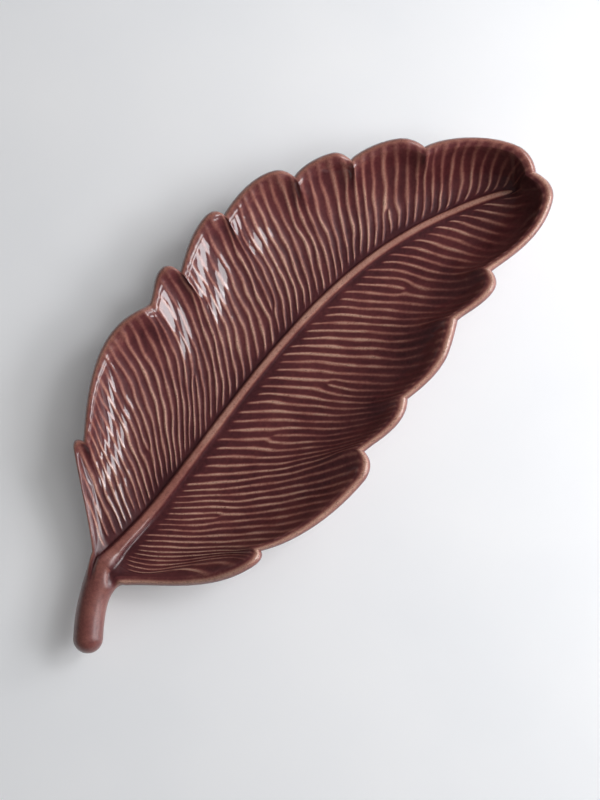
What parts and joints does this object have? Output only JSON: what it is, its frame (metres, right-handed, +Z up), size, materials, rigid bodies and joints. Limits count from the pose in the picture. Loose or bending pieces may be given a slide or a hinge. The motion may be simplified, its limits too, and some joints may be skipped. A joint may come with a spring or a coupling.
{
  "type": "leaf shaped plate",
  "caption": "Shallow glazed ceramic dish shaped as a broad leaf, with a scalloped rim, fine raised veins, a curved midrib, a round stem handle and a foot ring.",
  "frame": {"origin": "centre of the overall bounding box in plan, at the height of the surface that the foot ring stands on", "axes": "+X along the leaf from the stem to the tip, +Y to the left of the midrib, +Z up"},
  "size_m": [0.28, 0.126, 0.0298],
  "materials": {
    "brown_glaze": "gloss",
    "thin_glaze": "gloss",
    "bare_clay": "matt"
  },
  "bodies": {
    "root": {"left_vane": "brown_glaze", "right_vane": "brown_glaze", "left_rim": "thin_glaze", "right_rim": "thin_glaze", "midrib": "thin_glaze", "stem_handle": "brown_glaze", "foot_ring": "bare_clay"}
  },
  "joints": []
}
